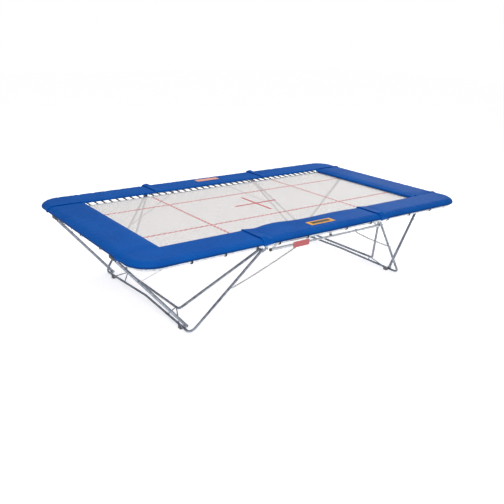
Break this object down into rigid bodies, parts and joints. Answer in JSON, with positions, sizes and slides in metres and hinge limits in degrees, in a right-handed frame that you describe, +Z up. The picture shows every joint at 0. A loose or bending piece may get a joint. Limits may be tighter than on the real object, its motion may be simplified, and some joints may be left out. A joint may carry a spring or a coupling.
{
  "type": "folding competition trampoline",
  "caption": "Large rectangular folding trampoline: woven bed on coil springs, blue padded rim, hinged ends, fold-under leg frames and bracing struts.",
  "frame": {"origin": "on the floor under the middle of the bed", "axes": "+X along the bed, +Y across it, +Z up"},
  "size_m": [5.14, 3.01, 1.142],
  "materials": {
    "galvanised_steel": "satin",
    "zinc_plated_pins": "satin",
    "spring_steel": "satin",
    "blue_vinyl": "satin",
    "bed_web": "matte",
    "black_rubber": "matte",
    "black_webbing": "matte",
    "red_plate": "gloss",
    "orange_patch": "satin",
    "chain_steel": "satin"
  },
  "bodies": {
    "centre_frame": {"centre_rail_near": "galvanised_steel", "centre_rail_far": "galvanised_steel", "fold_hinge_pins": "zinc_plated_pins", "leg_hinge_pins": "zinc_plated_pins", "lower_bar_near": "galvanised_steel", "lower_bar_far": "galvanised_steel", "bar_end_caps": "black_rubber", "bar_marker_plate": "red_plate", "centre_pad_near": "blue_vinyl", "centre_pad_far": "blue_vinyl", "pad_label_patches": "orange_patch", "centre_pad_straps": "black_webbing", "centre_springs": "spring_steel", "centre_spring_pegs": "galvanised_steel", "leg_chains_left": "chain_steel", "leg_chains_right": "chain_steel"},
    "bed_middle": {"bed_centre": "bed_web"},
    "end_left": {"end_rail_left": "galvanised_steel", "end_pad_left": "blue_vinyl", "side_pad_left_near": "blue_vinyl", "side_pad_left_far": "blue_vinyl", "pad_straps_left": "black_webbing", "springs_left": "spring_steel", "spring_pegs_left": "galvanised_steel", "strut_clamps_left": "black_rubber", "strut_pins_left": "zinc_plated_pins", "strut_stays_left": "chain_steel", "bed_left": "bed_web"},
    "leg_left": {"leg_outer_left": "galvanised_steel", "leg_inner_left": "galvanised_steel", "leg_feet_left": "black_rubber", "strut_saddles_left": "galvanised_steel"},
    "strut_left_near": {"strut_left_near": "galvanised_steel", "strut_cap_left_near": "black_rubber"},
    "strut_left_far": {"strut_left_far": "galvanised_steel", "strut_cap_left_far": "black_rubber"},
    "end_right": {"end_rail_right": "galvanised_steel", "end_pad_right": "blue_vinyl", "side_pad_right_near": "blue_vinyl", "side_pad_right_far": "blue_vinyl", "pad_straps_right": "black_webbing", "springs_right": "spring_steel", "spring_pegs_right": "galvanised_steel", "strut_clamps_right": "black_rubber", "strut_pins_right": "zinc_plated_pins", "strut_stays_right": "chain_steel", "bed_right": "bed_web"},
    "leg_right": {"leg_outer_right": "galvanised_steel", "leg_inner_right": "galvanised_steel", "leg_feet_right": "black_rubber", "strut_saddles_right": "galvanised_steel"},
    "strut_right_near": {"strut_right_near": "galvanised_steel", "strut_cap_right_near": "black_rubber"},
    "strut_right_far": {"strut_right_far": "galvanised_steel", "strut_cap_right_far": "black_rubber"}
  },
  "joints": [
    {"name": "end_left_fold", "type": "hinge", "parent": "centre_frame", "child": "end_left", "pos_m": [-0.95, 0, 1.13], "axis": [0, 1, 0], "range_deg": [0, 178]},
    {"name": "end_right_fold", "type": "hinge", "parent": "centre_frame", "child": "end_right", "pos_m": [0.95, 0, 1.13], "axis": [0, -1, 0], "range_deg": [0, 148]},
    {"name": "leg_left_fold", "type": "hinge", "parent": "centre_frame", "child": "leg_left", "pos_m": [-0.925, 0, 0.995], "axis": [0, -1, 0], "range_deg": [0, 129], "deforming": ["leg_chains_left"]},
    {"name": "leg_right_fold", "type": "hinge", "parent": "centre_frame", "child": "leg_right", "pos_m": [0.925, 0, 0.995], "axis": [0, 1, 0], "range_deg": [0, 121], "deforming": ["leg_chains_right"]},
    {"name": "bed_bounce", "type": "slide", "parent": "centre_frame", "child": "bed_middle", "axis": [0, 0, 1], "range_m": [-0.3, 0], "stiffness_N_per_m": 6000},
    {"name": "strut_left_near_swing", "type": "hinge", "parent": "end_left", "child": "strut_left_near", "pos_m": [-2.505, -0.87, 0.984], "axis": [0, -1, 0], "range_deg": [0, 48.5]},
    {"name": "strut_left_far_swing", "type": "hinge", "parent": "end_left", "child": "strut_left_far", "pos_m": [-2.505, 0.87, 0.984], "axis": [0, -1, 0], "range_deg": [0, 48.5], "deforming": ["strut_stays_left"]},
    {"name": "strut_right_near_swing", "type": "hinge", "parent": "end_right", "child": "strut_right_near", "pos_m": [2.505, -0.87, 0.984], "axis": [0, 1, 0], "range_deg": [0, 48.5]},
    {"name": "strut_right_far_swing", "type": "hinge", "parent": "end_right", "child": "strut_right_far", "pos_m": [2.505, 0.87, 0.984], "axis": [0, 1, 0], "range_deg": [0, 48.5], "deforming": ["strut_stays_right"]}
  ],
  "couplings": [
    {"joint": "strut_left_near_swing", "follows": "end_left_fold", "ratio": 0.2695},
    {"joint": "strut_left_far_swing", "follows": "end_left_fold", "ratio": 0.2695},
    {"joint": "strut_right_near_swing", "follows": "end_right_fold", "ratio": 0.3241},
    {"joint": "strut_right_far_swing", "follows": "end_right_fold", "ratio": 0.3241}
  ]
}
